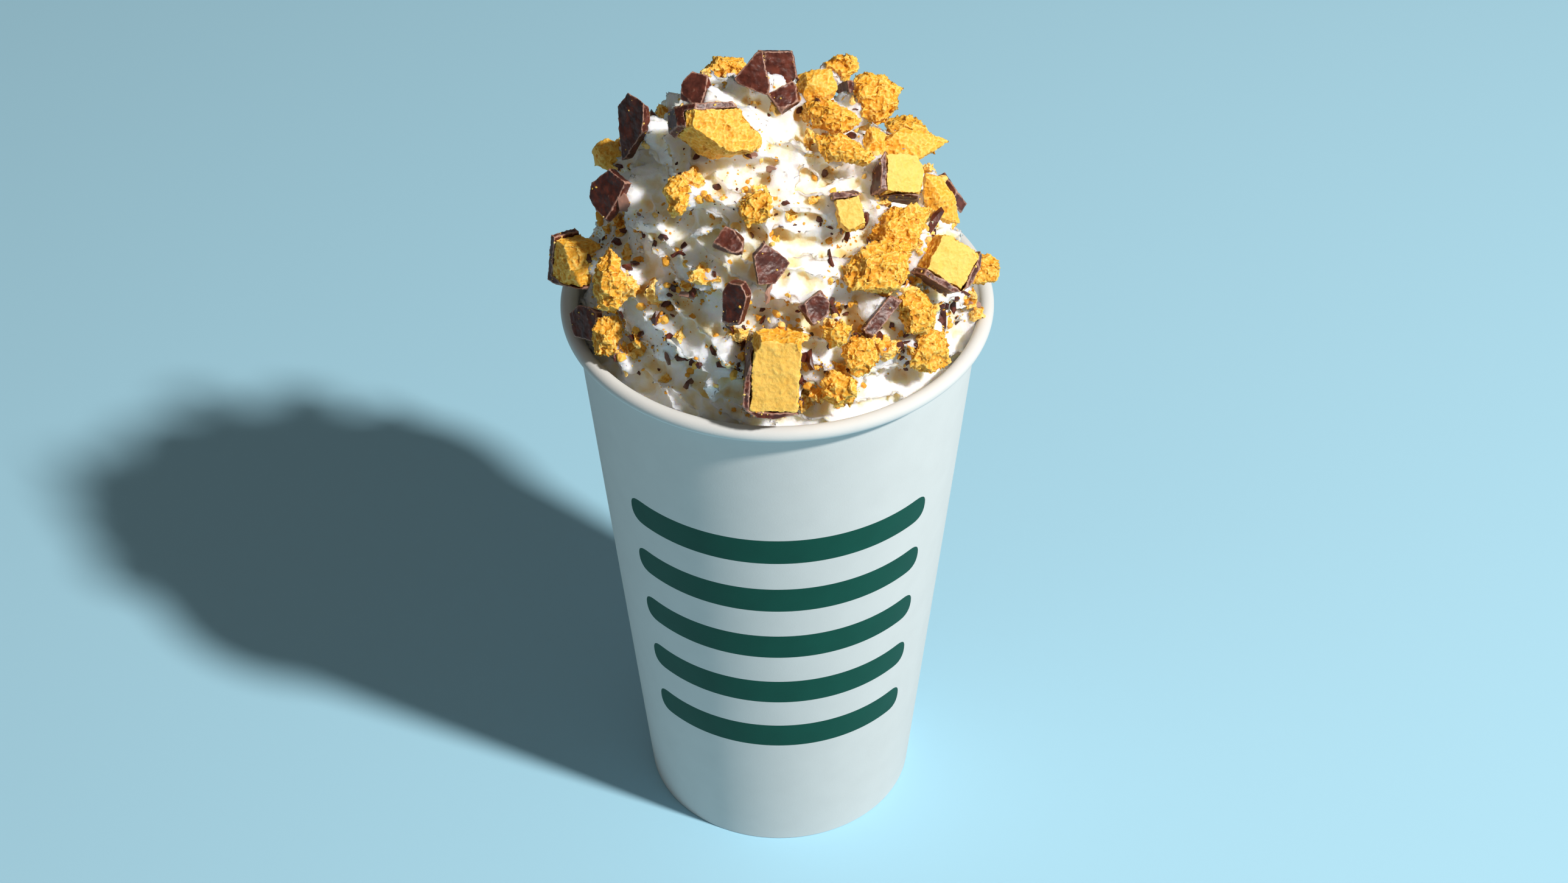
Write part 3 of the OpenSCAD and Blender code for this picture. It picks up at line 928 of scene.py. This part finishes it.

# %% [markdown]
# ## Chocolate
#
# Tempered milk chocolate snaps into flat faces with sharp edges. The edges are paler than the faces: the
# finish mixes in a pale colour where a point stands proud of its surroundings. A cloudy mix of two browns
# keeps the faces from looking like plastic.

# %% Chocolate finish
def make_chocolate(name, melted, snapped, bloom):
    material, tree, shader, place = new_material(name)
    hollow = add(tree, "ShaderNodeAttribute", attribute_name="hollow").outputs["Fac"]
    edge = add(tree, "ShaderNodeMapRange", {"Value": hollow, "From Min": -0.15, "From Max": -0.6,
                                            "To Max": 0.85})
    cloud = add(tree, "ShaderNodeTexNoise", {"Vector": place, "Scale": 1 / (1.6 * MM), "Detail": 4.0})
    patch = add(tree, "ShaderNodeMapRange",
                {"Value": cloud.outputs["Fac"], "From Min": 0.4, "From Max": 0.7})
    body = add(tree, "ShaderNodeMix", {0: patch.outputs[0], 6: linear(melted), 7: linear(snapped)},
               data_type="RGBA")
    edge_paled = add(tree, "ShaderNodeMix", {0: edge.outputs[0], 6: body.outputs[2], 7: linear(bloom)},
                  data_type="RGBA")
    grit = add(tree, "ShaderNodeTexNoise", {"Vector": place, "Scale": 1 / (0.5 * MM), "Detail": 3.0})
    bump = add(tree, "ShaderNodeBump",
               {"Height": grit.outputs["Fac"], "Distance": 0.1 * MM, "Strength": 0.6})
    tree.links.new(edge_paled.outputs[2], shader.inputs["Base Color"])
    tree.links.new(bump.outputs["Normal"], shader.inputs["Normal"])
    shader.inputs["Roughness"].default_value = 0.42
    shader.inputs["IOR"].default_value = 1.47
    return material


cocoa = make_chocolate("Milk chocolate, snapped", "#43190f", "#6a3122", "#b48a78")

# %% [markdown]
# ## Breaking every solid
#
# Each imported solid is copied, its loose triangles are merged, and a fine voxel remesh gives it an even
# skin. The torn-surface tree then works on it with the numbers of its own stuff. A shift taken from the
# piece's own place keeps two pieces from sharing one pattern. Before that, flat cuts snap corners off bars
# and chocolate. Their seed is the bar's name, so a bar and its coat break along the same planes.

# %% Broken pieces
def copy_of(node):
    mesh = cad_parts[node].data.copy()
    mesh.materials.clear()
    weld(mesh, 0.001 * MM)
    return new_piece(node + "_broken", mesh)


def cut_face_of(node):
    """The way the widest flat side of a piece of bar looks, out from the heap."""
    work = bmesh.new()
    work.from_mesh(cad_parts[node].data)
    areas = {}
    for face in work.faces:
        key = tuple(round(c, 2) for c in face.normal)
        areas[key] = areas.get(key, 0) + face.calc_area()
    work.free()
    low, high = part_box(node)
    away = (low + high) / 2 - Vector((0, 0, EDGE_Z))
    widest = sorted(areas, key=areas.get)[-2:]
    return max((Vector(key) for key in widest), key=lambda way: way.dot(away))


def hold_in(mesh, box):
    """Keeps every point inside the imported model's box."""
    low, high = box
    for vertex in mesh.vertices:
        vertex.co = [min(max(c, a), b) for c, a, b in zip(vertex.co, low, high)]


SLANTS = {"bar_crown": [((0.75, 0.43, 0.5), 0.5), ((0.62, -0.5, -0.6), 0.8), ((-0.45, -0.8, -0.4), 0.42)],
          "bar_right": [((-0.6, 0.5, 0.6), 0.72)],
          "bar_post": [((0.8, -0.4, -0.5), 0.78)]}


def snap(piece, twin, cuts, depth, keep=Vector()):
    """Breaks corners off along flat cuts, the same ones for a bar and its coat."""
    draw = random.Random(twin)
    group = [node for node in (twin, twin.replace("bar_", "bar_coat_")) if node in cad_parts]
    points = [v.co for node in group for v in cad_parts[node].data.vertices]
    middle = sum(points, Vector()) / len(points)
    points = [p - middle for p in points]
    work = bmesh.new()
    work.from_mesh(piece.data)
    planes = [(Vector(way).normalized(), share) for way, share in SLANTS.get(twin, ())]
    while len(planes) < cuts:
        way = Vector([draw.gauss(0, 1) for _ in range(3)]).normalized()
        share = draw.uniform(*depth)
        if abs(way.dot(keep)) < 0.72:
            planes.append((way, share))
    for way, share in planes:
        reach = max(p.dot(way) for p in points)
        bmesh.ops.bisect_plane(work, geom=work.verts[:] + work.edges[:] + work.faces[:], dist=1e-7,
                               plane_co=middle + way * reach * share, plane_no=way, clear_outer=True)
        bmesh.ops.holes_fill(work, edges=[e for e in work.edges if e.is_boundary], sides=0)
    work.to_mesh(piece.data)
    work.free()
    return piece


def swell(piece, share):
    """Makes a piece a little larger about its own middle, for what the tearing takes off."""
    middle = sum((v.co for v in piece.data.vertices), Vector()) / len(piece.data.vertices)
    piece.data.transform(Matrix.Translation(middle) @ Matrix.Scale(share, 4) @ Matrix.Translation(-middle))
    return piece


def break_up(piece, node, twin, voxel, finish, slot, **sizes):
    low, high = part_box(twin)
    piece = remesh(piece, voxel)
    piece = grow(piece, torn, Shift=sum((low + high) / 2) * 7, Finish=finish, **sizes)
    hold_in(piece.data, cad_box)
    smooth(piece)
    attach(piece, "root")
    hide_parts(node)
    broken[slot].append(piece)


LOOSE = {"Rag size": 2.2 * MM, "Rag depth": 2.2 * MM, "Ridge size": 1.5 * MM, "Ridge depth": 0.35 * MM,
         "Fray size": 0.7 * MM, "Fray depth": 1.0 * MM,
         "Hole size": 1.5 * MM, "Hole depth": 0.3 * MM, "Grain size": 0.5 * MM, "Grain depth": 0.95 * MM,
         "Blur": 14, "Relief": 0.32 * MM}
SMOOTH = {"Rag size": 2.6 * MM, "Rag depth": 1.2 * MM, "Ridge size": 2.4 * MM, "Ridge depth": 0.3 * MM,
          "Fray size": 0.8 * MM, "Fray depth": 0.8 * MM,
          "Hole size": 1.4 * MM, "Hole depth": 0.4 * MM, "Grain size": 0.5 * MM, "Grain depth": 0.4 * MM,
          "Blur": 12, "Relief": 0.3 * MM}
BAR = {"Rag size": 2.8 * MM, "Rag depth": 1.6 * MM, "Ridge size": 2.4 * MM, "Ridge depth": 0.4 * MM,
       "Fray size": 0.9 * MM, "Fray depth": 0.8 * MM,
       "Hole size": 1.3 * MM, "Hole depth": 0.4 * MM, "Grain size": 0.5 * MM, "Grain depth": 0.5 * MM,
       "Calm": 0.55, "Blur": 12, "Relief": 0.3 * MM}
SNAPPED = {"Rag size": 4 * MM, "Rag depth": 1.0 * MM, "Ridge size": 3 * MM, "Ridge depth": 0.05 * MM,
           "Fray size": 0.9 * MM, "Fray depth": 0.35 * MM,
           "Hole size": 1.2 * MM, "Hole depth": 0.0, "Grain size": 0.6 * MM, "Grain depth": 0.08 * MM,
           "Blur": 8, "Relief": 0.14 * MM}
LUMPY = {"Slow size": 4.5 * MM, "Slow depth": 3.0 * MM, "Quick size": 1.9 * MM, "Quick depth": 1.4 * MM}
DENSE = {"spike", "slab", "top", "post", "shaded"}
broken = {"honeycomb": [], "chocolate": []}
for node in sorted(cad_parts):
    twin = node.replace("_coat", "")
    if node.startswith("bar_"):
        bare = twin == node
        way = cut_face_of(twin)
        piece = snap(copy_of(node), twin, 7, (0.66, 0.88), keep=way)
        if bare:
            break_up(piece, node, twin, 0.2 * MM, toffee, "honeycomb", **BAR, **{"Cut face": way})
        else:
            break_up(piece, node, twin, 0.2 * MM, cocoa, "chocolate", **SNAPPED)
    elif node.startswith("chocolate_"):
        piece = swell(snap(copy_of(node), node, 6, (0.62, 0.88)), 1.25)
        break_up(piece, node, node, 0.18 * MM, cocoa, "chocolate", **SNAPPED)
    elif node.startswith("honeycomb_"):
        dense = node.split("_", 1)[1] in DENSE
        piece = swell(copy_of(node), 1.1 if dense else 1.18)
        if not dense:
            piece = grow(remesh(piece, 0.5 * MM), warp, **LUMPY)
        break_up(piece, node, node, 0.19 * MM, toffee, "honeycomb", **(SMOOTH if dense else LOOSE))
for stuff, pieces in broken.items():
    print(stuff, len(pieces), "pieces,", sum(triangles_in(piece.data) for piece in pieces), "triangles")

# %% [markdown]
# ## Crumbs, dust and flecks
#
# Breaking a bar over the drink showers it with crumbs. One tree scatters them: points fall on the surfaces
# with a fixed seed, thicker in clumps, near toppings and low down, and each gets a small ball or splinter
# at its own turn and size. All are made real meshes, and a last noise breaks up their sameness. None falls
# below the lip, where the wall would have a crumb poking through it. Dust settles on the chocolate as well.

# %% Scattering
def make_scatter_tree():
    tree, sizes, result = geometry_tree("Scattered crumbs", **{
        "Per square metre": 1.0, "Smallest": 1.0, "Largest": 1.0, "Flatness": 1.0, "Rounds": 1,
        "Clump size": 1.0, "Clump share": 1.0, "Lowest": 1.0, "Low edge": 1.0, "High edge": 1.0,
        "Break size": 1.0, "Break depth": 1.0, "Rareness": 1.0, "Slimness": 1.0, "Seed": 1,
        "Finish": "material", "Toppings": "object"})
    place = add(tree, "GeometryNodeInputPosition").outputs[0]
    source = add(tree, "GeometryNodeObjectInfo", {"Object": sizes["Toppings"]})
    away = add(tree, "GeometryNodeProximity", {0: source.outputs["Geometry"]})
    close = add(tree, "ShaderNodeMapRange", {"Value": away.outputs["Distance"], "From Min": 5 * MM,
                                             "From Max": 0.3 * MM, "To Max": 0.8})
    per = add(tree, "ShaderNodeMath", {0: 1.0, 1: sizes["Clump size"]}, operation="DIVIDE")
    clumps = add(tree, "ShaderNodeTexNoise", {"Vector": place, "Scale": per.outputs[0], "Detail": 1.0})
    clump = add(tree, "ShaderNodeMapRange",
                {"Value": clumps.outputs["Fac"], "From Min": sizes["Clump share"], "From Max": 0.75})
    dense = add(tree, "ShaderNodeMath", {0: clump.outputs[0], 1: close.outputs[0]}, operation="ADD")
    height = add(tree, "ShaderNodeSeparateXYZ", {0: place})
    low = add(tree, "ShaderNodeMapRange", {"Value": height.outputs["Z"], "From Min": sizes["High edge"],
                                           "From Max": sizes["Low edge"], "To Min": 0.15})
    above = add(tree, "ShaderNodeMath", {0: height.outputs["Z"], 1: sizes["Lowest"]},
                operation="GREATER_THAN")
    low = add(tree, "ShaderNodeMath", {0: low.outputs[0], 1: above.outputs[0]}, operation="MULTIPLY")
    thick = add(tree, "ShaderNodeMath", {0: dense.outputs[0], 1: low.outputs[0]}, operation="MULTIPLY")
    density = add(tree, "ShaderNodeMath", {0: thick.outputs[0], 1: sizes["Per square metre"]},
                  operation="MULTIPLY")
    points = add(tree, "GeometryNodeDistributePointsOnFaces", {
        "Mesh": sizes["Geometry"], "Density": density.outputs[0], "Seed": sizes["Seed"]})
    ball = add(tree, "GeometryNodeMeshIcoSphere", {"Radius": 0.5, "Subdivisions": sizes["Rounds"]})
    turn = add(tree, "FunctionNodeRandomValue", {0: (0, 0, 0), 1: ANY_TURN, "Seed": sizes["Seed"]},
               data_type="FLOAT_VECTOR")
    draw = add(tree, "FunctionNodeRandomValue", {2: 0.0, 3: 1.0, "Seed": sizes["Seed"]}, data_type="FLOAT")
    rare = add(tree, "ShaderNodeMath", {0: draw.outputs[1], 1: sizes["Rareness"]}, operation="POWER")
    across = add(tree, "ShaderNodeMapRange", {"Value": rare.outputs[0], "To Min": sizes["Smallest"],
                                              "To Max": sizes["Largest"]})
    uneven = add(tree, "FunctionNodeRandomValue", {0: (0.6, 0.6, 0.6), 1: (1, 1, 1), "Seed": sizes["Seed"]},
                 data_type="FLOAT_VECTOR")
    slim = add(tree, "ShaderNodeCombineXYZ", {0: 1.0, 1: sizes["Slimness"], 2: sizes["Flatness"]})
    form = add(tree, "ShaderNodeVectorMath",
               {0: uneven.outputs[0], 1: slim.outputs[0]}, operation="MULTIPLY")
    scale = add(tree, "ShaderNodeVectorMath", {0: form.outputs[0], "Scale": across.outputs[0]},
                operation="SCALE")
    laid = add(tree, "GeometryNodeInstanceOnPoints", {
        "Points": points.outputs["Points"], "Instance": ball.outputs["Mesh"], "Rotation": turn.outputs[0],
        "Scale": scale.outputs[0]})
    whole = add(tree, "GeometryNodeRealizeInstances", {0: laid.outputs[0]})
    per = add(tree, "ShaderNodeMath", {0: 1.0, 1: sizes["Break size"]}, operation="DIVIDE")
    jag = add(tree, "ShaderNodeTexNoise", {"Vector": place, "Scale": per.outputs[0], "Detail": 2.0})
    centred = add(tree, "ShaderNodeVectorMath", {0: jag.outputs["Color"], 1: (0.5, 0.5, 0.5)},
                  operation="SUBTRACT")
    push = add(tree, "ShaderNodeVectorMath", {0: centred.outputs[0], "Scale": sizes["Break depth"]},
               operation="SCALE")
    moved = add(tree, "GeometryNodeSetPosition", {"Geometry": whole.outputs[0], "Offset": push.outputs[0]})
    done = add(tree, "GeometryNodeSetMaterial", {0: moved.outputs[0], "Material": sizes["Finish"]})
    tree.links.new(done.outputs[0], result)
    return tree


scatter = make_scatter_tree()


def strew(*layers):
    """One mesh for each kind of crumb: every layer is a surface, a seed and the sizes to strew with."""
    return join_meshes("strewn", [grow(new_piece(f"layer_{k}", surface.data.copy()), scatter, **sizes)
                                  for k, (surface, sizes) in enumerate(layers)])


def hand_in(piece, name, finish):
    piece.name = name
    piece.data.materials.clear()
    piece.data.materials.append(finish)
    for face in piece.data.polygons:
        face.material_index = 0
    hold_in(piece.data, cad_box)
    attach(piece, "root")
    print(name, triangles_in(piece.data), "triangles")


def toppings_together():
    pieces = []
    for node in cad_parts:
        if node.startswith(("honeycomb_", "bar_")):
            pieces.append(new_piece("topping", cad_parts[node].data.copy()))
    return join_meshes("toppings", pieces)


toppings = toppings_together()
dark = join_meshes("chocolates", [new_piece("chocolate", piece.data.copy())
                                  for piece in broken["chocolate"]])
crumb = make_honeycomb("Honeycomb crumbs", "#ffd680", "#fcc14e", "#e29a22")
EVENLY = {"Toppings": toppings, "Lowest": LIP_Z + 1 * MM, "Low edge": EDGE_Z + 24 * MM,
          "High edge": EDGE_Z + 52 * MM, "Clump size": 10 * MM, "Clump share": 0.42, "Slimness": 1.0}
ANYWHERE = dict(EVENLY, **{"Low edge": EDGE_Z + 80 * MM, "High edge": EDGE_Z + 90 * MM,
                           "Clump size": 4 * MM, "Clump share": 0.4})
DUST = {"Seed": 5, "Finish": crumb, "Rounds": 1, "Smallest": 0.2 * MM, "Rareness": 2.0, "Largest": 0.8 * MM,
        "Flatness": 0.8, "Break size": 0.3 * MM, "Break depth": 0.25 * MM}
bits = strew((cream, dict(EVENLY, **{
    "Seed": 3, "Finish": crumb, "Rounds": 2, "Per square metre": 3.4e4,
    "Smallest": 2.2 * MM, "Largest": 6.0 * MM, "Rareness": 1.4, "Flatness": 0.75,
    "Break size": 2.2 * MM, "Break depth": 3.6 * MM})))
bits = grow(remesh(bits, 0.3 * MM), torn, Shift=0.0, Finish=crumb, **LOOSE)
hand_in(bits, "honeycomb_bits", crumb)
hand_in(strew((cream, dict(EVENLY, **{
    "Seed": 13, "Finish": crumb, "Rounds": 2, "Per square metre": 1.7e5,
    "Smallest": 0.7 * MM, "Largest": 2.6 * MM, "Rareness": 2.0, "Flatness": 0.8,
    "Break size": 0.9 * MM, "Break depth": 1.3 * MM}))),
    "honeycomb_crumbs", crumb)
hand_in(strew((cream, dict(EVENLY, **DUST, **{"Per square metre": 6e5})),
              (dark, dict(ANYWHERE, **DUST, **{"Per square metre": 2.2e5}))),
        "honeycomb_dust", crumb)
hand_in(strew((cream, dict(EVENLY, **{
    "Seed": 8, "Finish": cocoa, "Rounds": 1, "Per square metre": 1.1e5,
    "Smallest": 0.6 * MM, "Largest": 3.8 * MM, "Rareness": 2.0, "Flatness": 0.35,
    "Break size": 1.2 * MM, "Break depth": 1.3 * MM})),
    (cream, dict(EVENLY, **{
        "Seed": 21, "Finish": cocoa, "Rounds": 1, "Per square metre": 1.5e4,
        "Smallest": 3.5 * MM, "Largest": 8.5 * MM, "Rareness": 1.5, "Flatness": 0.3, "Slimness": 0.45,
        "Break size": 2.6 * MM, "Break depth": 3.0 * MM}))),
    "chocolate_flecks", cocoa)
bpy.data.objects.remove(toppings)
bpy.data.objects.remove(dark)
